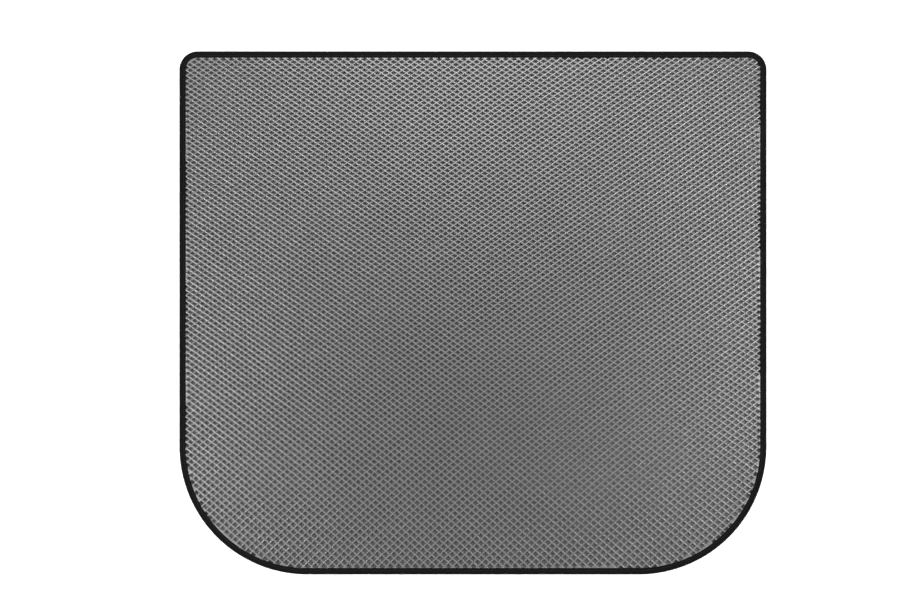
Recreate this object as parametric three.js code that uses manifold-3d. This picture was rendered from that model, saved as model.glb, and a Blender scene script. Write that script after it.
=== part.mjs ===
// A car boot liner: one moulded foam sheet whose top is a lattice of open diamond cells, with a tape
// folded over its cut edge and sewn through. Millimetres, +Z up. The origin is on the floor under the
// middle of the liner, +X runs across the boot, and +Y points to the end with the small corner curves.

import * as THREE from "three";
import { ConvexGeometry } from "three/addons/geometries/ConvexGeometry.js";
import { ParametricGeometry } from "three/addons/geometries/ParametricGeometry.js";
import { mergeGeometries, mergeVertices } from "three/addons/utils/BufferGeometryUtils.js";
import Module from "manifold-3d";

const wasm = await Module();
wasm.setup();

// Outline, over the binding. The far end is at +Y and the near end at -Y.
const WIDTH = 1055;
const DEPTH = 940;
const FAR_CORNER_RADIUS = 33;
const NEAR_CORNER_RADIUS = 230;
const FAR_CORNER_STEPS = 6;
const NEAR_CORNER_STEPS = 14;

// Foam sheet. Its top is level with the top of the binding.
const SHEET_THICKNESS = 10;
const CELL_FLOOR = 3;

// Cells. The rows grow longer towards the near end, slowly at first.
const CELL_WIDTH = 14.9;
const FAR_CELL_LENGTH = 9.75;
const NEAR_CELL_LENGTH = 14.1;
const ROW_GROWTH_POWER = 3.5;
const WALL_TOP = 1.7;
const WALL_FOOT = 3;
const RIM_LAND = 2.5; // flat strip of sheet between the binding and the first cells
const CELLS_PER_POCKET = 5; // real cells along each side of one modelled, enlarged cell
const SMALLEST_POCKET = 800; // mm3: what the rim leaves of a cut cell below this is filled
const OVERCUT = 1; // how far a cutting shape stands above the face that it cuts

// Binding tape
const TAPE_THICKNESS = 1;
const TAPE_FACE = 12; // width of tape seen on the top, and on the underside
const TAPE_GAP = 0.3; // between the sheet and the tape's fold, and beside the tape's edges
const FOLD_STEPS = 6;

// Seam, midway along the flat part of the tape's face
const THREAD_DIAMETER = 0.6;
const SEAM_GROOVE_WIDTH = 2;

const FAR_Y = DEPTH / 2;
const FOLD_RADIUS = SHEET_THICKNESS / 2;
const MID_Z = SHEET_THICKNESS / 2;
const CORE_INSET = TAPE_FACE + TAPE_GAP;
const FIELD_INSET = TAPE_FACE + RIM_LAND;
const SEAM_INSET = (FOLD_RADIUS + TAPE_FACE) / 2;

// One point of the outline for each step of the corner curves, anticlockwise, as the curve's centre,
// its radius and the direction out of it. An inset outline has the same centres and smaller radii.
function outlineStations() {
  const right = WIDTH / 2;
  const near = -DEPTH / 2;
  const corners = [
    { side: 1, y: FAR_Y - FAR_CORNER_RADIUS, radius: FAR_CORNER_RADIUS, steps: FAR_CORNER_STEPS },
    { side: -1, y: FAR_Y - FAR_CORNER_RADIUS, radius: FAR_CORNER_RADIUS, steps: FAR_CORNER_STEPS },
    { side: -1, y: near + NEAR_CORNER_RADIUS, radius: NEAR_CORNER_RADIUS, steps: NEAR_CORNER_STEPS },
    { side: 1, y: near + NEAR_CORNER_RADIUS, radius: NEAR_CORNER_RADIUS, steps: NEAR_CORNER_STEPS },
  ];
  return corners.flatMap(({ side, y, radius, steps }, quarter) =>
    Array.from({ length: steps + 1 }, (_, step) => ({
      x: side * (right - radius),
      y,
      radius,
      angle: (Math.PI / 2) * (quarter + step / steps),
    })),
  );
}

const STATIONS = outlineStations();

function outlinePoint(station, inset) {
  const reach = station.radius - inset;
  return new THREE.Vector2(
    station.x + reach * Math.cos(station.angle),
    station.y + reach * Math.sin(station.angle),
  );
}

// The outline, inset and filled, as a slab between two heights.
function slab(inset, bottom, top) {
  const shape = new THREE.Shape(STATIONS.map((station) => outlinePoint(station, inset)));
  const geometry = new THREE.ExtrudeGeometry(shape, { depth: top - bottom, bevelEnabled: false });
  return geometry.translate(0, 0, bottom);
}

// A closed section carried round the outline. The section's points are [inset, height], and go inwards
// along its top and outwards along its underside, so that the faces point out.
function sweepRound(section) {
  const place = (u, v, target) => {
    const station = STATIONS[Math.round(u * STATIONS.length) % STATIONS.length];
    const [inset, height] = section[Math.round(v * section.length) % section.length];
    const { x, y } = outlinePoint(station, inset);
    target.set(x, y, height);
  };
  return new ParametricGeometry(place, STATIONS.length, section.length);
}

// Half a turn of the fold, from the underside over the outer edge to the top.
function foldPoints(reach, rise) {
  return Array.from({ length: FOLD_STEPS + 1 }, (_, step) => {
    const angle = Math.PI * (step / FOLD_STEPS - 1 / 2);
    return [FOLD_RADIUS - reach * Math.cos(angle), MID_Z + rise * Math.sin(angle)];
  });
}

function solidOf(geometry) {
  geometry.deleteAttribute("normal");
  geometry.deleteAttribute("uv");
  const merged = mergeVertices(geometry);
  return new wasm.Manifold(
    new wasm.Mesh({
      numProp: 3,
      vertProperties: merged.attributes.position.array,
      triVerts: new Uint32Array(merged.index.array),
    }),
  );
}

function geometryOf(solid) {
  const { vertProperties, triVerts } = solid.getMesh();
  const geometry = new THREE.BufferGeometry();
  geometry.setAttribute("position", new THREE.BufferAttribute(vertProperties, 3));
  geometry.setIndex(new THREE.BufferAttribute(triVerts, 1));
  geometry.computeVertexNormals();
  return geometry;
}

// How much longer the field is for the growth of its rows, as a share of what equal rows would need.
const ROW_GROWTH = (NEAR_CELL_LENGTH / FAR_CELL_LENGTH - 1) / (ROW_GROWTH_POWER + 1);

// Distance from the far end of the field to a place that is a given share of the rows down it.
function rowPlace(share, fieldDepth) {
  const grown = ROW_GROWTH * Math.max(share, 0) ** (ROW_GROWTH_POWER + 1);
  return (fieldDepth * (share + grown)) / (1 + ROW_GROWTH);
}

// A cell as a cutting shape: its diamond shrinks about the cell's middle by the walls round it, which
// are thicker at the foot than at the top.
function cellCutter(x, [farY, midY, nearY], halfWidth) {
  const halfLength = (farY - nearY) / 2;
  const across = (2 * halfWidth * halfLength) / Math.hypot(halfWidth, halfLength);
  const corners = [
    [halfWidth, midY],
    [0, farY],
    [-halfWidth, midY],
    [0, nearY],
  ];
  const wallSlope = (WALL_FOOT - WALL_TOP) / (SHEET_THICKNESS - CELL_FLOOR);
  const ring = (z) => {
    const wall = (WALL_TOP + wallSlope * (SHEET_THICKNESS - z)) * CELLS_PER_POCKET;
    const open = 1 - wall / across;
    return corners.map(
      ([offset, y]) => new THREE.Vector3(x + offset * open, midY + (y - midY) * open, z),
    );
  };
  return new ConvexGeometry([...ring(CELL_FLOOR), ...ring(SHEET_THICKNESS + OVERCUT)]);
}

// Rows of diamonds, each row half a cell across from the one before and reaching half way into it. The
// first and last rows are half outside the field, and so is every other row's cell at each side.
function cellCutters() {
  const fieldWidth = WIDTH - 2 * FIELD_INSET;
  const fieldDepth = DEPTH - 2 * FIELD_INSET;
  const columns = Math.round(fieldWidth / (CELL_WIDTH * CELLS_PER_POCKET));
  const rows = Math.round(fieldDepth / (FAR_CELL_LENGTH * CELLS_PER_POCKET * (1 + ROW_GROWTH)));
  const pitch = fieldWidth / columns;
  const rowY = (halfRow) => FAR_Y - FIELD_INSET - rowPlace(halfRow / (2 * rows), fieldDepth);
  const cutters = [];
  for (let halfRow = 0; halfRow <= 2 * rows; halfRow += 1) {
    const lines = [rowY(halfRow - 1), rowY(halfRow), rowY(halfRow + 1)];
    const offset = (halfRow % 2) / 2;
    for (let column = offset; column <= columns; column += 1) {
      const x = (column - columns / 2) * pitch;
      cutters.push(cellCutter(x, lines, pitch / 2));
    }
  }
  return solidOf(mergeGeometries(cutters));
}

function evaSheet() {
  const top = SHEET_THICKNESS - TAPE_THICKNESS;
  const edge = foldPoints(FOLD_RADIUS - TAPE_THICKNESS - TAPE_GAP, MID_Z - TAPE_THICKNESS);
  const margin = sweepRound([[FIELD_INSET, top], [FIELD_INSET, TAPE_THICKNESS], ...edge]);
  const sheet = solidOf(slab(CORE_INSET, 0, SHEET_THICKNESS)).add(solidOf(margin));
  const field = solidOf(slab(FIELD_INSET, 0, SHEET_THICKNESS + OVERCUT));
  const pockets = cellCutters()
    .intersect(field)
    .decompose()
    .filter((pocket) => pocket.volume() > SMALLEST_POCKET);
  return geometryOf(sheet.subtract(wasm.Manifold.union(pockets)));
}

// The tape's section: its outside with a shallow sewn groove in each face, then its inside.
function edgeBinding() {
  const grooveFrom = SEAM_INSET - SEAM_GROOVE_WIDTH / 2;
  const grooveTo = SEAM_INSET + SEAM_GROOVE_WIDTH / 2;
  const inside = foldPoints(FOLD_RADIUS - TAPE_THICKNESS, MID_Z - TAPE_THICKNESS).reverse();
  return geometryOf(
    solidOf(
      sweepRound([
        ...foldPoints(FOLD_RADIUS, MID_Z),
        [grooveFrom, SHEET_THICKNESS],
        [grooveFrom, SHEET_THICKNESS - THREAD_DIAMETER],
        [grooveTo, SHEET_THICKNESS - THREAD_DIAMETER],
        [grooveTo, SHEET_THICKNESS],
        [TAPE_FACE, SHEET_THICKNESS],
        [TAPE_FACE, SHEET_THICKNESS - TAPE_THICKNESS],
        ...inside,
        [TAPE_FACE, TAPE_THICKNESS],
        [TAPE_FACE, 0],
        [grooveTo, 0],
        [grooveTo, THREAD_DIAMETER],
        [grooveFrom, THREAD_DIAMETER],
        [grooveFrom, 0],
      ]),
    ),
  );
}

// One thread of the seam, from its lowest height, as a six-sided strand that lies in its groove.
function seamThread(bottom) {
  const radius = THREAD_DIAMETER / 2;
  const top = bottom + THREAD_DIAMETER;
  const middle = bottom + radius;
  return geometryOf(
    solidOf(
      sweepRound([
        [SEAM_INSET - radius / 2, top],
        [SEAM_INSET + radius / 2, top],
        [SEAM_INSET + radius, middle],
        [SEAM_INSET + radius / 2, bottom],
        [SEAM_INSET - radius / 2, bottom],
        [SEAM_INSET - radius, middle],
      ]),
    ),
  );
}

function part(name, geometry, color, roughness) {
  const material = new THREE.MeshStandardMaterial({ color, roughness, metalness: 0, flatShading: true });
  const mesh = new THREE.Mesh(geometry, material);
  mesh.name = name;
  return mesh;
}

const FOAM_GREY = 0x77777a;
const TAPE_BLACK = 0x1d1d1f;
const THREAD_BLACK = 0x18181a;

const liner = new THREE.Group();
liner.add(part("eva_sheet", evaSheet(), FOAM_GREY, 0.75));
liner.add(part("edge_binding", edgeBinding(), TAPE_BLACK, 0.9));
liner.add(part("needle_thread", seamThread(SHEET_THICKNESS - THREAD_DIAMETER), THREAD_BLACK, 0.7));
liner.add(part("bobbin_thread", seamThread(0), THREAD_BLACK, 0.7));

export default liner;
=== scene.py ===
"""A car boot liner seen from above: a moulded foam sheet with open diamond cells, its cut edge bound
with a folded tape that is sewn through. Metres, in the frame of the solids: +X across the boot, +Y to the
end with the small corner curves, +Z up out of the cells."""

import math

import bmesh
import bpy
import numpy as np
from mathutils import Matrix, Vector


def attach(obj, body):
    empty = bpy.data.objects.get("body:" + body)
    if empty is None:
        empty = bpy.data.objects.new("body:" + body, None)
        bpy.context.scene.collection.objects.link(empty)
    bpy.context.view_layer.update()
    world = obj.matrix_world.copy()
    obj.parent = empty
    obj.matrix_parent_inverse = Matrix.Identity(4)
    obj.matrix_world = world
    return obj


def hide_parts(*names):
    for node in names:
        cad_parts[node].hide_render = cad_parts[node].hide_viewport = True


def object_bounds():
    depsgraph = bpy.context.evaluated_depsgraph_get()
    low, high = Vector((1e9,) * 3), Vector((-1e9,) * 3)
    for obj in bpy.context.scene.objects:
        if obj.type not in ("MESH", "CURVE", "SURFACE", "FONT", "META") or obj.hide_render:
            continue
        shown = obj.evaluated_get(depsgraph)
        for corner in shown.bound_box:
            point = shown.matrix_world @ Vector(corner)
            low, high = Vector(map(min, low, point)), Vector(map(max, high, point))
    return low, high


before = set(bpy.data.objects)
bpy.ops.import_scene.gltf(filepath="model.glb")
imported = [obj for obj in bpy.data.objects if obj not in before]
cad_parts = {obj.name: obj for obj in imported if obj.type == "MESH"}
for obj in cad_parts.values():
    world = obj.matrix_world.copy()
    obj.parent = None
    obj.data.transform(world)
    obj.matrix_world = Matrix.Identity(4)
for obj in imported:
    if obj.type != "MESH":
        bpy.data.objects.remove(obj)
SOLID_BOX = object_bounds()

MM = 0.001

# The outline, over the binding
(LEFT, NEAR, FLOOR), (RIGHT, FAR, TOP) = SOLID_BOX
FAR_CORNER = 33 * MM
NEAR_CORNER = 230 * MM

# The foam sheet: its walls, and the rows of cells that grow longer towards the near end
CELL_FLOOR = 3 * MM
CELL_WIDTH = 14.9 * MM
FAR_CELL_LENGTH = 9.75 * MM
NEAR_CELL_LENGTH = 14.1 * MM
ROW_GROWTH_POWER = 3.5
FIRST_ROW = 2.8 * MM  # from the tape's far free edge to a row of cells' middles
ROW_GROWTH = (NEAR_CELL_LENGTH / FAR_CELL_LENGTH - 1) / (ROW_GROWTH_POWER + 1)
WALL_TOP = 1.6 * MM
WALL_FOOT = 2.6 * MM
ROUNDING = 0.32  # the level share of the shading direction at a wall's top edges
NODE_WANDER = 0.08 * MM
COLUMN_LEAN = 0.035  # the columns' lean towards the left side, up the sheet
ROW_LIFT = 0.06  # half the rows' turn for each metre right of the middle
COLUMN_SPREAD = 0.05  # half the cells' growth in width for each metre right of the middle
RIM_SAG = 0.1 * MM
SPARE_CELLS = 3

# The slow waves of the sheet's top: radians for each metre across and along it, and the angle at the middle
SHEET_WAVE = 0.25 * MM
SHEET_WAVES = ((41, 9, 0), (-23, 17, 1.3), (13, 55, 0.4))

# The binding tape and its seam
TAPE_FACE = 12.5 * MM
TAPE_THICKNESS = 1 * MM
FOLD = (TOP - FLOOR) / 2
TAPE_GAP = 0.3 * MM
TAPE_CHAMFER = 0.3 * MM
TURN_POINTS = 13
FACE_POINTS = 9
SEAM_INSET = (FOLD + TAPE_FACE) / 2
STITCH = 5 * MM
STEPS_PER_STITCH = 3
THREAD_STEPS_PER_STITCH = 6
THREAD_RADIUS = 0.3 * MM
THREAD_DIVE = 0.9 * MM
THREAD_SIDES = 6
SEAM_DIP = 0.55 * MM
HOLE_DIP = 0.35 * MM
SEAM_DIP_WIDTH = 1.1 * MM

# The envelope that the block of cells is cut to. The full height starts at the core gap inside the tape's
# free edge. The block is deeper than the envelope by its skirt, and the envelope taller by its rise.
CORE_GAP = 0.15 * MM
ENVELOPE_STEPS = 400
ENVELOPE_TURN_POINTS = 5
ENVELOPE_RISE = 1 * MM
BLOCK_SKIRT = 5 * MM

# Cells whose middle lies further than this under the tape's free edge are shut
SHUT_DEPTH = 1 * MM

# Maps for baking: empty margins, as shares of the map and of a strip, and the shares of the sheet's map that
# its top and its underside take across, and where the underside starts
BAKE_EDGE = 0.005
STRIP_EDGE = 0.02
BAKE_TOP = 0.96
BAKE_UNDERSIDE = 0.12
BAKE_UNDERSIDE_START = 0.87

# Finishes: the two colours between which each one changes
FOAM_COLOURS = ((0.12, 0.12, 0.12, 1), (0.145, 0.145, 0.145, 1))
# The tape's darker colour is painted shade between its ribs and yarns
TAPE_COLOURS = ((0.003, 0.003, 0.003, 1), (0.0065, 0.0064, 0.0066, 1))
# The thread's darker colour is painted shade in the furrows between its plies
THREAD_COLOURS = ((0.005, 0.005, 0.005, 1), (0.011, 0.011, 0.012, 1))
FLOOR_COLOUR = (0.86, 0.86, 0.86, 1)

# The foam is matt in the cells and polished at the walls' tops, with the change between two heights
MATT_BELOW = TOP - 3 * MM
POLISHED_ABOVE = TOP - 1 * MM
MATT_ROUGHNESS = 0.55
POLISHED_ROUGHNESS = 0.24
PATCHY_ROUGHNESS = 0.06
COAT_ROUGHNESS = 0.27

# The weave of the tape, and the thread's twist from ply to ply
RIB_PITCH = 1 * MM
YARN_PITCH = 0.5 * MM
YARN_SHARE = 0.4
TWIST_PITCH = 0.8 * MM

# A wave texture's scale times its pitch: its bands are sines of twenty times the scaled place
WAVE_RADIANS = 2 * math.pi / 20

# The photograph's frame, and where the outline's box lies in it
PHOTO_WIDTH = 920
PHOTO_HEIGHT = 613
OUTLINE_WIDTH = 587.0
OUTLINE_MIDDLE = (472.95, 312.88)
CAMERA_HEIGHT = 2.0
SENSOR = 36.0

# The stage. Each lamp has the place where a mirror on the sheet would show it, its height, its width and
# depth, and its power in watts.
WORLD_LEVEL = 0.35
FLOOR_GLOW = 0.5
FLOOR_GAP = 0.2 * MM
FLOOR_REACH = 40.0
FLOOR_WALL = 12.0
LAMPS = {
    "far_lamp": ((0.0, 0.68), 2.1, (1.6, 0.8), 48.0),
    "left_lamp": ((-0.75, -0.34), 1.5, (1.3, 0.25), 25.0),
    "right_lamp": ((0.70, -0.03), 1.5, (0.9, 0.25), 18.0),
}

SEED = 7


# Outline


def outline_run(count):
    """The outline in equal steps along the seam line, anticlockwise from the end of the right side.

    A point at an inset is its anchor plus (reach - inset) times the direction out. Along a corner curve the
    anchor is the curve's centre and the direction turns. Along a side the anchor slides from one centre to
    the next, and the reach changes from one radius to the other, which keeps the point on the side."""
    corners = (
        (RIGHT - FAR_CORNER, FAR - FAR_CORNER, FAR_CORNER),
        (LEFT + FAR_CORNER, FAR - FAR_CORNER, FAR_CORNER),
        (LEFT + NEAR_CORNER, NEAR + NEAR_CORNER, NEAR_CORNER),
        (RIGHT - NEAR_CORNER, NEAR + NEAR_CORNER, NEAR_CORNER),
    )
    knots = np.repeat(np.array(corners), 2, axis=0)
    knots = np.vstack([knots, knots[:1]])
    quarters = np.array([0, 1, 1, 2, 2, 3, 3, 4, 4])
    angles = quarters * math.pi / 2
    out = np.stack([np.cos(angles), np.sin(angles)], axis=1)
    places = knots[:, :2] + (knots[:, 2:] - SEAM_INSET) * out
    lengths = np.linalg.norm(np.diff(places, axis=0), axis=1)
    lengths[0::2] = (knots[:-1:2, 2] - SEAM_INSET) * math.pi / 2
    along_knots = np.concatenate([[0.0], np.cumsum(lengths)])
    along = np.linspace(0, along_knots[-1], count, endpoint=False)
    anchor_x, anchor_y, reach, angle = (
        np.interp(along, along_knots, values) for values in (*knots.T, angles)
    )
    return {
        "along": along,
        "length": along_knots[-1],
        "anchor": np.stack([anchor_x, anchor_y], axis=1),
        "reach": reach,
        "out": np.stack([np.cos(angle), np.sin(angle)], axis=1),
    }


def carried(run, inset, height):
    """A section carried round the outline: each point lies at its inset from the outer edge and at its
    height. Both arrays are steps by section points, or section points alone."""
    steps = len(run["along"])
    inset = np.broadcast_to(inset, (steps, np.shape(inset)[-1]))
    height = np.broadcast_to(height, inset.shape)
    reach = run["reach"][:, None] - inset
    flat = run["anchor"][:, None, :] + reach[..., None] * run["out"][:, None, :]
    return np.concatenate([flat, height[..., None]], axis=2)


def inset_of(x, y):
    """How far inside the outer edge a point is: the distance to a rectangle with rounded corners, whose
    radius is the far one where y is above zero and the near one elsewhere."""
    radius = np.where(y > 0, FAR_CORNER, NEAR_CORNER)
    across = np.abs(x) - (RIGHT - radius)
    down = np.abs(y) - (FAR - radius)
    outside = np.hypot(np.maximum(across, 0), np.maximum(down, 0))
    return radius - outside - np.minimum(np.maximum(across, down), 0)


# Meshes


def mesh_of(name, vertices, faces):
    """A mesh from an array of places and an array of four-cornered faces."""
    mesh = bpy.data.meshes.new(name)
    mesh.vertices.add(len(vertices))
    mesh.vertices.foreach_set("co", np.ascontiguousarray(vertices, np.float32).ravel())
    mesh.loops.add(faces.size)
    mesh.loops.foreach_set("vertex_index", faces.astype(np.int32).ravel())
    mesh.polygons.add(len(faces))
    mesh.polygons.foreach_set("loop_start", np.arange(0, faces.size, 4, dtype=np.int32))
    mesh.update(calc_edges=True)
    return mesh


def object_of(name, mesh):
    """An object in the scene that shows a mesh."""
    piece = bpy.data.objects.new(name, mesh)
    bpy.context.scene.collection.objects.link(piece)
    return piece


def ring_mesh(name, places, along, around):
    """A closed section carried round the closed outline, as one skin. Its map 'lay' gives each corner's
    distance along the outline and around the section, in metres, with no jump where they close. Its map
    'OFBake' lays the same skin out in level strips, one above the other, at about one scale both ways."""
    steps, points = places.shape[:2]
    step, point = (a.ravel() for a in np.meshgrid(np.arange(steps), np.arange(points), indexing="ij"))
    corner_steps = np.stack([step, step + 1, step + 1, step], axis=1)
    corner_points = np.stack([point, point, point + 1, point + 1], axis=1)
    faces = (corner_steps % steps) * points + corner_points % points
    mesh = mesh_of(name, places.reshape(-1, 3), faces)
    mesh.polygons.foreach_set("use_smooth", np.ones(len(faces), bool))
    lay = mesh.uv_layers.new(name="lay")
    places_on_map = np.stack([along[corner_steps], around[corner_points]], axis=2)
    lay.uv.foreach_set("vector", places_on_map.astype(np.float32).ravel())
    strips = round(math.sqrt(along[-1] / around[-1]))
    strip_steps = math.ceil(steps / strips)
    strip = (step // strip_steps)[:, None]
    across = BAKE_EDGE + (1 - 2 * BAKE_EDGE) * (corner_steps - strip * strip_steps) / strip_steps
    up = STRIP_EDGE + (1 - 2 * STRIP_EDGE) * around[corner_points] / around[-1]
    bake = mesh.uv_layers.new(name="OFBake")
    places_on_bake = np.stack([across, (strip + up) / strips], axis=2)
    bake.uv.foreach_set("vector", places_on_bake.astype(np.float32).ravel())
    return mesh


def face_normals(mesh):
    """Each face's own normal, once for each of its corners."""
    normals = np.empty(len(mesh.polygons) * 3, np.float32)
    mesh.polygons.foreach_get("normal", normals)
    corners = np.empty(len(mesh.polygons), np.int32)
    mesh.polygons.foreach_get("loop_total", corners)
    return np.repeat(normals.reshape(-1, 3), corners, axis=0)


def add_bake_map(mesh):
    """A map 'OFBake' that lays the faces turned up out as seen from above, and the faces turned down in a
    strip over them, at an eighth of the scale."""
    corner = np.empty(len(mesh.loops), np.int32)
    mesh.loops.foreach_get("vertex_index", corner)
    place = np.empty(len(mesh.vertices) * 3, np.float32)
    mesh.vertices.foreach_get("co", place)
    place = place.reshape(-1, 3)[corner]
    down = face_normals(mesh)[:, 2] < 0
    scale = np.where(down, BAKE_UNDERSIDE, BAKE_TOP) / (RIGHT - LEFT)
    across = BAKE_EDGE + (place[:, 0] - LEFT) * scale
    up = BAKE_EDGE + (place[:, 1] - NEAR) * scale + np.where(down, BAKE_UNDERSIDE_START, 0)
    mesh.uv_layers.new(name="OFBake").uv.foreach_set("vector", np.stack([across, up], axis=1).ravel())


# Foam sheet


def row_place(row):
    """Distance from the far edge of the open field down to a row: the rows' share s of the field gives
    s + g s^(p + 1), where g is the growth and p its power, as a share of 1 + g."""
    depth = FAR - NEAR - 2 * TAPE_FACE
    rows = depth / (FAR_CELL_LENGTH * (1 + ROW_GROWTH))
    share = row / rows
    return depth * (share + ROW_GROWTH * np.maximum(share, 0) ** (ROW_GROWTH_POWER + 1)) / (1 + ROW_GROWTH)


def sheet_wave(x, y):
    """Slow rise and fall of the sheet's top: the mean of crossed sine waves of a x + b y + c, less one and
    halved, so that it runs from the wave's full depth up to zero."""
    waves = sum(np.sin(a * x + b * y + c) for a, b, c in SHEET_WAVES)
    return SHEET_WAVE * (waves / len(SHEET_WAVES) - 1) / 2


def lattice_grid():
    """The places of the lattice on a grid of half cells: columns half a cell apart and half rows. Cells and
    crossings alternate on it as the squares of a chessboard do. The moulded lattice isn't quite square to
    the outline: the columns lean, x - c y, and right of the middle the rows turn up and the cells widen, by
    terms in x squared. Each place wanders a little."""
    half_columns = math.ceil((RIGHT + SPARE_CELLS * CELL_WIDTH) / (CELL_WIDTH / 2))
    most_rows = math.ceil((FAR - NEAR) / FAR_CELL_LENGTH) + SPARE_CELLS
    column = np.arange(-half_columns, half_columns + 1)
    half_row = np.arange(-2 * SPARE_CELLS, 2 * most_rows)
    place = FIRST_ROW + row_place(half_row / 2)
    inside = place < FAR - NEAR + SPARE_CELLS * NEAR_CELL_LENGTH
    half_row, place = half_row[inside], place[inside]
    x, y = np.meshgrid(column * CELL_WIDTH / 2, FAR - TAPE_FACE - place)
    random = np.random.default_rng(SEED)
    right = np.maximum(x, 0)
    wander = random.normal(0, NODE_WANDER, (2, *x.shape))
    moved_x = x - COLUMN_LEAN * y + COLUMN_SPREAD * right**2 + wander[0]
    moved_y = y + ROW_LIFT * right**2 + wander[1]
    odd = (column[None, :] + half_row[:, None]) % 2 == 1
    return moved_x, moved_y, odd


def lattice_block():
    """The cells as an open skin wider than the sheet. A cell's diamond lies on four crossings, and shrinks
    about its middle by the share of it that the walls take, more at the foot than at the top. Walls' tops
    join the cells two by two, and a small diamond joins four of them at each crossing."""
    x, y, odd = lattice_grid()
    random = np.random.default_rng(SEED + 1)
    rows, columns = x.shape
    row, column = np.meshgrid(np.arange(rows), np.arange(columns), indexing="ij")
    inner = (row > 0) & (row < rows - 1) & (column > 0) & (column < columns - 1)
    cell = inner & ~odd & (inset_of(x, y) > -CELL_WIDTH)
    cell_row, cell_column = np.nonzero(cell)
    count = len(cell_row)
    number = np.full(x.shape, -1)
    number[cell_row, cell_column] = np.arange(count)

    # The four crossings round each cell: right, far, left, near
    at_row = cell_row[:, None] + np.array([0, -1, 0, 1])
    at_column = cell_column[:, None] + np.array([1, 0, -1, 0])
    corner = np.stack([x[at_row, at_column], y[at_row, at_column]], axis=2)
    middle = np.stack([x[cell_row, cell_column], y[cell_row, cell_column]], axis=1)[:, None, :]
    half_width = (corner[:, 0, 0] - corner[:, 2, 0]) / 2
    half_length = (corner[:, 1, 1] - corner[:, 3, 1]) / 2
    across = 2 * half_width * half_length / np.hypot(half_width, half_length)
    rim = middle + (corner - middle) * (1 - WALL_TOP / across)[:, None, None]
    foot = middle + (corner - middle) * (1 - WALL_FOOT / across)[:, None, None]
    sag = random.uniform(0, RIM_SAG, x.shape)[at_row, at_column]
    rim_height = TOP - sag + sheet_wave(rim[..., 0], rim[..., 1])
    foot_height = np.broadcast_to(
        CELL_FLOOR + random.uniform(0, RIM_SAG, count)[:, None], rim_height.shape
    )

    open_cell = inset_of(middle[:, 0, 0], middle[:, 0, 1]) > TAPE_FACE - SHUT_DEPTH
    foot_number = np.cumsum(open_cell) - 1
    rims = np.arange(count)[:, None] * 4 + np.arange(4)
    feet = 4 * count + foot_number[:, None] * 4 + np.arange(4)
    open_rims, open_feet = rims[open_cell], feet[open_cell]
    next_rims, next_feet = np.roll(open_rims, -1, axis=1), np.roll(open_feet, -1, axis=1)
    walls = np.stack([open_rims, next_rims, next_feet, open_feet], axis=2).reshape(-1, 4)

    # Level directions from each wall into its cell, for the walls right-far, far-left, left-near, near-right
    run = np.roll(corner, -1, axis=1) - corner
    into = np.stack([-run[..., 1], run[..., 0]], axis=2) / np.linalg.norm(run, axis=2)[..., None]
    rim_lean = np.concatenate([ROUNDING * into, np.full((count, 4, 1), math.sqrt(1 - ROUNDING**2))], axis=2)
    foot_lean = np.concatenate([into, np.zeros((count, 4, 1))], axis=2)
    corner_lean = (rim_lean + np.roll(rim_lean, 1, axis=1)) / 2
    wall_lean = np.stack([rim_lean, rim_lean, foot_lean, foot_lean], axis=2)[open_cell].reshape(-1, 4, 3)

    def neighbours(row_step, column_step):
        other = number[cell_row + row_step, cell_column + column_step]
        both = other >= 0
        return both, other[both]

    both, other = neighbours(-1, 1)
    right_tops = np.stack([rims[both, 0], rims[other, 3], rims[other, 2], rims[both, 1]], axis=1)
    near_side, far_side = rim_lean[both, 0], rim_lean[other, 2]
    right_lean = np.stack([near_side, far_side, far_side, near_side], axis=1)
    both, other = neighbours(-1, -1)
    left_tops = np.stack([rims[both, 1], rims[other, 0], rims[other, 3], rims[both, 2]], axis=1)
    near_side, far_side = rim_lean[both, 1], rim_lean[other, 3]
    left_lean = np.stack([near_side, far_side, far_side, near_side], axis=1)

    cross_row, cross_column = np.nonzero(inner & odd)
    around = [
        number[cross_row, cross_column + 1],
        number[cross_row - 1, cross_column],
        number[cross_row, cross_column - 1],
        number[cross_row + 1, cross_column],
    ]
    whole = np.all([a >= 0 for a in around], axis=0)
    facing = (2, 3, 0, 1)
    crossings = np.stack([rims[a[whole], c] for a, c in zip(around, facing)], axis=1)
    crossing_lean = np.stack([corner_lean[a[whole], c] for a, c in zip(around, facing)], axis=1)

    faces = np.concatenate([open_feet, rims[~open_cell], walls, right_tops, left_tops, crossings])
    leans = np.concatenate([wall_lean, right_lean, left_lean, crossing_lean])
    vertices = np.concatenate(
        [
            np.concatenate([rim, rim_height[..., None]], axis=2).reshape(-1, 3),
            np.concatenate([foot, foot_height[..., None]], axis=2)[open_cell].reshape(-1, 3),
        ]
    )
    mesh = mesh_of("lattice", vertices, faces)
    flat_faces = len(faces) - len(leans)
    lean = mesh.attributes.new("lean", "FLOAT_VECTOR", "CORNER")
    lean.data.foreach_set("vector", np.concatenate([np.zeros((flat_faces, 4, 3)), leans]).ravel())
    return mesh


def closed_below(mesh, depth):
    """Carries the skin's free edge straight down below the sheet, and fills the underside."""
    skin = bmesh.new()
    skin.from_mesh(mesh)
    edge = [e for e in skin.edges if e.is_boundary]
    carried_down = bmesh.ops.extrude_edge_only(skin, edges=edge)["geom"]
    for vertex in (v for v in carried_down if isinstance(v, bmesh.types.BMVert)):
        vertex.co.z = -depth
    lower = [e for e in carried_down if isinstance(e, bmesh.types.BMEdge) and e.is_boundary]
    bmesh.ops.holes_fill(skin, edges=lower, sides=0)
    bmesh.ops.recalc_face_normals(skin, faces=skin.faces)
    skin.to_mesh(mesh)
    skin.free()


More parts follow.
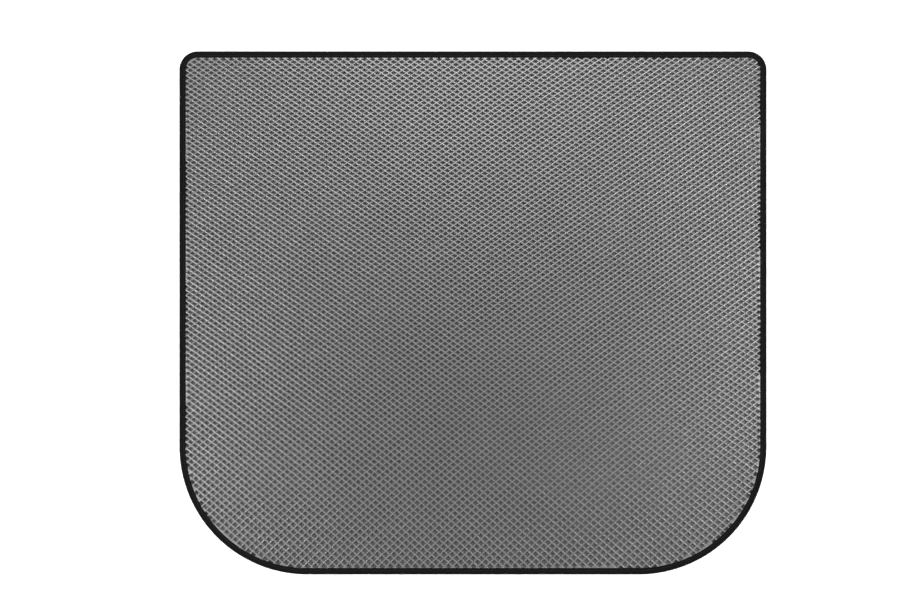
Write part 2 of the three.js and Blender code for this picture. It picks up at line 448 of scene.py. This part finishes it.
def sheet_envelope():
    """The sheet's outer form with no cells: its full height inside the tape, and a margin with a rounded
    edge, thinner by the tape at each face, that the tape covers."""
    core = TAPE_FACE + CORE_GAP
    middle = (TOP + FLOOR) / 2
    rise = middle - FLOOR - TAPE_THICKNESS
    reach = FOLD - TAPE_THICKNESS - TAPE_GAP
    turn = np.linspace(-math.pi / 2, math.pi / 2, ENVELOPE_TURN_POINTS)
    inset = np.concatenate([[core, core], FOLD - reach * np.cos(turn), [core, core]])
    height = np.concatenate(
        [
            [FLOOR, FLOOR + TAPE_THICKNESS],
            middle + rise * np.sin(turn),
            [TOP - TAPE_THICKNESS, TOP + ENVELOPE_RISE],
        ]
    )
    places = carried(outline_run(ENVELOPE_STEPS), inset, height)
    steps, points = places.shape[:2]
    step = np.arange(steps)[:, None]
    point = np.arange(points - 1)[None, :]
    after = (step + 1) % steps
    faces = np.stack(
        [
            step * points + point,
            after * points + point,
            after * points + point + 1,
            step * points + point + 1,
        ],
        axis=2,
    ).reshape(-1, 4)
    mesh = mesh_of("envelope", places.reshape(-1, 3), faces)
    skin = bmesh.new()
    skin.from_mesh(mesh)
    bmesh.ops.holes_fill(skin, edges=[e for e in skin.edges if e.is_boundary], sides=0)
    bmesh.ops.recalc_face_normals(skin, faces=skin.faces)
    skin.to_mesh(mesh)
    skin.free()
    return mesh


def cut_to(piece, envelope):
    """The part of a closed piece that lies inside a closed envelope."""
    cut = piece.modifiers.new("cut", "BOOLEAN")
    cut.operation = "INTERSECT"
    cut.solver = "MANIFOLD"
    cut.object = envelope
    graph = bpy.context.evaluated_depsgraph_get()
    mesh = bpy.data.meshes.new_from_object(piece.evaluated_get(graph))
    piece.modifiers.remove(cut)
    piece.data = mesh
    bpy.data.objects.remove(envelope)


def foam_sheet():
    """The cells' block cut to the sheet's outline. The walls' tops are shaded by the leans that the block
    carries, as if they were rounded, and every other face by its own normal."""
    block = lattice_block()
    closed_below(block, BLOCK_SKIRT)
    sheet = object_of("foam_sheet", block)
    cut_to(sheet, object_of("envelope", sheet_envelope()))
    mesh = sheet.data
    mesh.name = "foam_sheet"
    lean = np.empty(len(mesh.loops) * 3, np.float32)
    mesh.attributes["lean"].data.foreach_get("vector", lean)
    mesh.attributes.remove(mesh.attributes["lean"])
    mesh.polygons.foreach_set("use_smooth", np.ones(len(mesh.polygons), bool))
    lean = lean.reshape(-1, 3)
    length = np.linalg.norm(lean, axis=1, keepdims=True)
    shaded = np.where(length > 0.5, lean / np.maximum(length, 0.5), face_normals(mesh))
    mesh.normals_split_custom_set(shaded)
    add_bake_map(mesh)
    return sheet


# Tape and threads


def seam_pull(along, inset):
    """How far the seam pulls the tape's face in: a ridge across the inset round the seam line, deeper at
    each needle hole, which is a cosine along the seam."""
    across = np.exp(-(((inset - SEAM_INSET) / SEAM_DIP_WIDTH) ** 2))
    at_hole = (1 + np.cos(2 * math.pi * along / STITCH)) / 2
    return across * (SEAM_DIP + HOLE_DIP * at_hole[:, None])


def whole_stitches():
    """The number of stitches that goes round the outline."""
    return round(outline_run(8)["length"] / STITCH)


def binding_tape():
    """The tape's closed section, carried round the outline: half a turn of fold over the edge, a flat face
    above and below, and the same again inside, one thickness in. The free edges are chamfered, and the seam
    pulls both outer faces in."""
    run = outline_run(whole_stitches() * STEPS_PER_STITCH)
    middle = (TOP + FLOOR) / 2
    turn = np.linspace(-math.pi / 2, math.pi / 2, TURN_POINTS)
    turn_back = turn[::-3]
    face_end = TAPE_FACE - TAPE_CHAMFER
    face = np.linspace(FOLD, face_end, FACE_POINTS)[1:]
    inner = FOLD - TAPE_THICKNESS
    inner_top = TOP - TAPE_THICKNESS
    inner_bottom = FLOOR + TAPE_THICKNESS
    inset = np.concatenate(
        [
            FOLD - FOLD * np.cos(turn),
            face,
            [TAPE_FACE, TAPE_FACE, face_end],
            FOLD - inner * np.cos(turn_back),
            [face_end, TAPE_FACE, TAPE_FACE],
            face[::-1],
        ]
    )
    height = np.concatenate(
        [
            middle + FOLD * np.sin(turn),
            np.full(len(face), TOP),
            [TOP - TAPE_CHAMFER, inner_top + TAPE_CHAMFER, inner_top],
            middle + inner * np.sin(turn_back),
            [inner_bottom, inner_bottom - TAPE_CHAMFER, FLOOR + TAPE_CHAMFER],
            np.full(len(face), FLOOR),
        ]
    )
    pull = seam_pull(run["along"], inset[None, :])
    outer = (height > inner_top) | (height < inner_bottom)
    upward = np.where(height > middle, 1.0, -1.0)
    heights = height - upward * pull * outer
    lengths = np.hypot(np.diff(inset, append=inset[0]), np.diff(height, append=height[0]))
    around = np.concatenate([[0.0], np.cumsum(lengths)])
    along = np.append(run["along"], run["length"])
    places = carried(run, inset, heights)
    return object_of("binding_tape", ring_mesh("binding_tape", places, along, around))


def seam_thread(name, surface, upward):
    """A round thread along the seam line. Between two needle holes it lies on the pulled-in tape, and at
    each hole it dives into it: its depth is the fourth power of a cosine along the seam."""
    run = outline_run(whole_stitches() * THREAD_STEPS_PER_STITCH)
    dive = np.cos(math.pi * run["along"] / STITCH) ** 4
    centre = surface - upward * (THREAD_RADIUS + THREAD_DIVE * dive)
    turn = np.linspace(0, -2 * math.pi, THREAD_SIDES + 1)
    inset = SEAM_INSET - THREAD_RADIUS * np.cos(turn[:-1])
    height = centre[:, None] - THREAD_RADIUS * np.sin(turn[:-1])[None, :]
    along = np.append(run["along"], run["length"])
    around = -turn * THREAD_RADIUS
    places = carried(run, inset, height)
    return object_of(name, ring_mesh(name, places, along, around))


# Materials


def material_of(name):
    """An empty material and its nodes, links and shader."""
    material = bpy.data.materials.new(name)
    material.use_nodes = True
    tree = material.node_tree
    return material, tree, tree.nodes["Principled BSDF"]


def node(tree, kind, **settings):
    """A new node, with its inputs' values or its own settings given by name."""
    made = tree.nodes.new(kind)
    for key, value in settings.items():
        if key in made.inputs:
            made.inputs[key].default_value = value
        else:
            setattr(made, key, value)
    return made


def group_of(name, inputs, outputs):
    """An empty node group with its sockets, and its nodes for what comes in and for what goes out."""
    group = bpy.data.node_groups.new(name, "ShaderNodeTree")
    for direction, sockets in (("INPUT", inputs), ("OUTPUT", outputs)):
        for socket, kind in sockets.items():
            group.interface.new_socket(socket, in_out=direction, socket_type=kind)
    return group, group.nodes.new("NodeGroupInput"), group.nodes.new("NodeGroupOutput")


def placed(tree, group, vector, **sizes):
    """A group in a material, on a vector and with sizes of its own."""
    made = tree.nodes.new("ShaderNodeGroup")
    made.node_tree = group
    for name, size in sizes.items():
        made.inputs[name].default_value = size
    tree.links.new(vector, made.inputs["Vector"])
    return made


def fine_grain_group():
    """A group that gives a height and a tint over the surface from two sizes of noise on a vector."""
    group, start, end = group_of(
        "fine_grain",
        {"Vector": "NodeSocketVector", "Fine": "NodeSocketFloat", "Coarse": "NodeSocketFloat"},
        {"Height": "NodeSocketFloat", "Tint": "NodeSocketFloat"},
    )
    fine = node(group, "ShaderNodeTexNoise", Detail=2.0)
    coarse = node(group, "ShaderNodeTexNoise", Detail=3.0)
    for noise, scale, result in ((fine, "Fine", "Height"), (coarse, "Coarse", "Tint")):
        group.links.new(start.outputs["Vector"], noise.inputs["Vector"])
        group.links.new(start.outputs[scale], noise.inputs["Scale"])
        group.links.new(noise.outputs["Fac"], end.inputs[result])
    return group


def weave_group():
    """A group that gives a height over a map of places in metres: ribs across the first direction, a pitch
    apart, and finer and shallower yarns across the second."""
    group, start, end = group_of(
        "weave",
        {"Vector": "NodeSocketVector", "Ribs": "NodeSocketFloat", "Yarns": "NodeSocketFloat"},
        {"Height": "NodeSocketFloat"},
    )
    ribs = node(group, "ShaderNodeTexWave", bands_direction="X", Distortion=0.6)
    yarns = node(group, "ShaderNodeTexWave", bands_direction="Y", Distortion=0.3)
    for wave, scale in ((ribs, "Ribs"), (yarns, "Yarns")):
        group.links.new(start.outputs["Vector"], wave.inputs["Vector"])
        group.links.new(start.outputs[scale], wave.inputs["Scale"])
    both = node(group, "ShaderNodeMath", operation="MULTIPLY_ADD")
    both.inputs[1].default_value = YARN_SHARE
    group.links.new(yarns.outputs["Fac"], both.inputs[0])
    group.links.new(ribs.outputs["Fac"], both.inputs[2])
    group.links.new(both.outputs["Value"], end.inputs["Height"])
    return group


GRAIN = fine_grain_group()
WEAVE = weave_group()


def coloured(tree, shader, colours, mask):
    """Gives the shader a base colour that changes from one colour to the other over a mask."""
    colour = node(tree, "ShaderNodeMix", data_type="RGBA")
    colour.inputs["A"].default_value, colour.inputs["B"].default_value = colours
    tree.links.new(mask, colour.inputs["Factor"])
    tree.links.new(colour.outputs["Result"], shader.inputs["Base Color"])


def bumped(tree, shader, height, strength, distance):
    """Gives the shader a relief of the given depth from a height."""
    bump = node(tree, "ShaderNodeBump", Strength=strength, Distance=distance)
    tree.links.new(height, bump.inputs["Height"])
    tree.links.new(bump.outputs["Normal"], shader.inputs["Normal"])


def up_the_walls(tree, height, in_cells, on_tops):
    """A value that changes with the height, from the one in the cells to the one on the walls' tops."""
    change = node(tree, "ShaderNodeMapRange")
    ends = {"From Min": MATT_BELOW, "From Max": POLISHED_ABOVE, "To Min": in_cells, "To Max": on_tops}
    for name, value in ends.items():
        change.inputs[name].default_value = value
    tree.links.new(height, change.inputs["Value"])
    return change.outputs["Result"]


def foam_material():
    """Moulded foam: a fine grain, patches of a slightly lighter grey, and tops that wear has polished."""
    material, tree, shader = material_of("eva_foam")
    place = node(tree, "ShaderNodeTexCoord").outputs["Object"]
    skin = placed(tree, GRAIN, place, Fine=1400.0, Coarse=9.0)
    coloured(tree, shader, FOAM_COLOURS, skin.outputs["Tint"])
    bumped(tree, shader, skin.outputs["Height"], 0.25, 0.3 * MM)
    axes = node(tree, "ShaderNodeSeparateXYZ")
    tree.links.new(place, axes.inputs["Vector"])
    rough = node(tree, "ShaderNodeMath", operation="MULTIPLY_ADD")
    rough.inputs[1].default_value = PATCHY_ROUGHNESS
    tree.links.new(skin.outputs["Tint"], rough.inputs[0])
    polish = up_the_walls(tree, axes.outputs["Z"], MATT_ROUGHNESS, POLISHED_ROUGHNESS)
    tree.links.new(polish, rough.inputs[2])
    tree.links.new(rough.outputs["Value"], shader.inputs["Roughness"])
    tree.links.new(up_the_walls(tree, axes.outputs["Z"], 0.0, 1.0), shader.inputs["Coat Weight"])
    shader.inputs["Coat Roughness"].default_value = COAT_ROUGHNESS
    return material


def tape_material():
    """Woven tape: ribs across it and finer yarns along it, with painted shade that darkens its colour
    between the ribs.
    """
    material, tree, shader = material_of("woven_tape")
    lay = node(tree, "ShaderNodeUVMap", uv_map="lay").outputs["UV"]
    weave = placed(tree, WEAVE, lay, Ribs=WAVE_RADIANS / RIB_PITCH, Yarns=WAVE_RADIANS / YARN_PITCH)
    place = node(tree, "ShaderNodeTexCoord").outputs["Object"]
    wear = placed(tree, GRAIN, place, Fine=900.0, Coarse=14.0)
    # The weave's height, in patches of the coarse grain, darkens the colour between the ribs: painted shade
    depth = node(tree, "ShaderNodeMath", operation="MULTIPLY")
    tree.links.new(weave.outputs["Height"], depth.inputs[0])
    tree.links.new(wear.outputs["Tint"], depth.inputs[1])
    coloured(tree, shader, TAPE_COLOURS, depth.outputs["Value"])
    bumped(tree, shader, weave.outputs["Height"], 0.6, 0.2 * MM)
    shader.inputs["Roughness"].default_value = 0.85
    shader.inputs["Specular IOR Level"].default_value = 0.08
    return material


def thread_material():
    """Twisted thread: the furrows between its plies are a wave on the slant round it, and its colour is
    darker in them as painted shade.
    """
    material, tree, shader = material_of("sewing_thread")
    lay = node(tree, "ShaderNodeUVMap", uv_map="lay").outputs["UV"]
    slant = 2 * WAVE_RADIANS / TWIST_PITCH
    twist = node(tree, "ShaderNodeTexWave", bands_direction="DIAGONAL", Scale=slant)
    tree.links.new(lay, twist.inputs["Vector"])
    # Painted shade: the colour is darker in the furrows between the plies
    coloured(tree, shader, THREAD_COLOURS, twist.outputs["Fac"])
    bumped(tree, shader, twist.outputs["Fac"], 0.7, 0.1 * MM)
    shader.inputs["Roughness"].default_value = 0.5
    shader.inputs["Specular IOR Level"].default_value = 0.3
    return material


# Stage


def seen_rays(tree):
    """One for the rays that show the surroundings: the camera's own, and those from gloss and glass."""
    rays = node(tree, "ShaderNodeLightPath")
    seen = rays.outputs["Is Camera Ray"]
    for name in ("Is Glossy Ray", "Is Transmission Ray"):
        either = node(tree, "ShaderNodeMath", operation="MAXIMUM")
        tree.links.new(seen, either.inputs[0])
        tree.links.new(rays.outputs[name], either.inputs[1])
        seen = either.outputs["Value"]
    return seen


def floor_material():
    """White, and a little brighter as seen, so that it ends white and keeps a shadow."""
    material, tree, shader = material_of("white_floor")
    shader.inputs["Base Color"].default_value = FLOOR_COLOUR
    shader.inputs["Roughness"].default_value = 1.0
    shader.inputs["Specular IOR Level"].default_value = 0.0
    lift = node(tree, "ShaderNodeMath", operation="MULTIPLY")
    lift.inputs[1].default_value = FLOOR_GLOW
    tree.links.new(seen_rays(tree), lift.inputs[0])
    shader.inputs["Emission Color"].default_value = (1, 1, 1, 1)
    tree.links.new(lift.outputs["Value"], shader.inputs["Emission Strength"])
    return material


def lamp(name, mirrored_at, height, size, power):
    """An area lamp that a mirror on the sheet would show the camera at the given place. Beside the sheet it
    faces the nearest place on the middle line, and on that line it faces the sheet's middle."""
    light = bpy.data.lights.new(name, "AREA")
    light.shape = "RECTANGLE"
    light.size, light.size_y = size
    light.energy = power
    made = bpy.data.objects.new(name, light)
    reach = 1 + height / CAMERA_HEIGHT
    made.location = (mirrored_at[0] * reach, mirrored_at[1] * reach, height)
    aim = (0, made.location.y, 0) if mirrored_at[0] else (0, 0, 0)
    made.rotation_euler = (Vector(aim) - made.location).to_track_quat("-Z", "Y").to_euler()
    made.visible_camera = False
    bpy.context.scene.collection.objects.link(made)


def stage():
    """A white floor with low walls far off, three lamps and an even sky."""
    square = FLOOR_REACH * np.array([[-1, -1], [1, -1], [1, 1], [-1, 1]])
    foot = np.insert(square, 2, FLOOR - FLOOR_GAP, axis=1)
    corners = np.vstack([foot, np.insert(square, 2, FLOOR_WALL, axis=1)])
    faces = np.array([[0, 1, 2, 3], [0, 4, 5, 1], [1, 5, 6, 2], [2, 6, 7, 3], [3, 7, 4, 0]])
    floor = object_of("floor", mesh_of("floor", corners, faces))
    floor.data.materials.append(floor_material())
    for name, settings in LAMPS.items():
        lamp(name, *settings)
    world = bpy.data.worlds.new("studio")
    bpy.context.scene.world = world
    world.use_nodes = True
    background = world.node_tree.nodes["Background"]
    background.inputs["Color"].default_value = (1, 1, 1, 1)
    background.inputs["Strength"].default_value = WORLD_LEVEL


def camera():
    """Looks straight down from where the photograph's middle lies on the liner."""
    across = (RIGHT - LEFT) / OUTLINE_WIDTH
    data = bpy.data.cameras.new("camera")
    data.sensor_width = SENSOR
    data.lens = SENSOR * CAMERA_HEIGHT / (PHOTO_WIDTH * across)
    made = bpy.data.objects.new("camera", data)
    middle_x = (PHOTO_WIDTH / 2 - OUTLINE_MIDDLE[0]) * across
    middle_y = (OUTLINE_MIDDLE[1] - PHOTO_HEIGHT / 2) * across
    made.location = (middle_x, middle_y, (TOP + FLOOR) / 2 + CAMERA_HEIGHT)
    bpy.context.scene.collection.objects.link(made)
    bpy.context.scene.camera = made


def dressed(piece, material, node_name):
    """Gives a piece its material, attaches it to the root body and hides the solid that it stands for."""
    piece.data.materials.clear()
    piece.data.materials.append(material)
    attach(piece, "root")
    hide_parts(node_name)
    return piece


camera()
stage()
bpy.context.scene.view_settings.view_transform = "Standard"

sheet = dressed(foam_sheet(), foam_material(), "eva_sheet")
tape = dressed(binding_tape(), tape_material(), "edge_binding")
thread = thread_material()
dressed(seam_thread("needle_stitches", TOP, 1), thread, "needle_thread")
dressed(seam_thread("bobbin_stitches", FLOOR, -1), thread, "bobbin_thread")

outline_run(8)["length"]
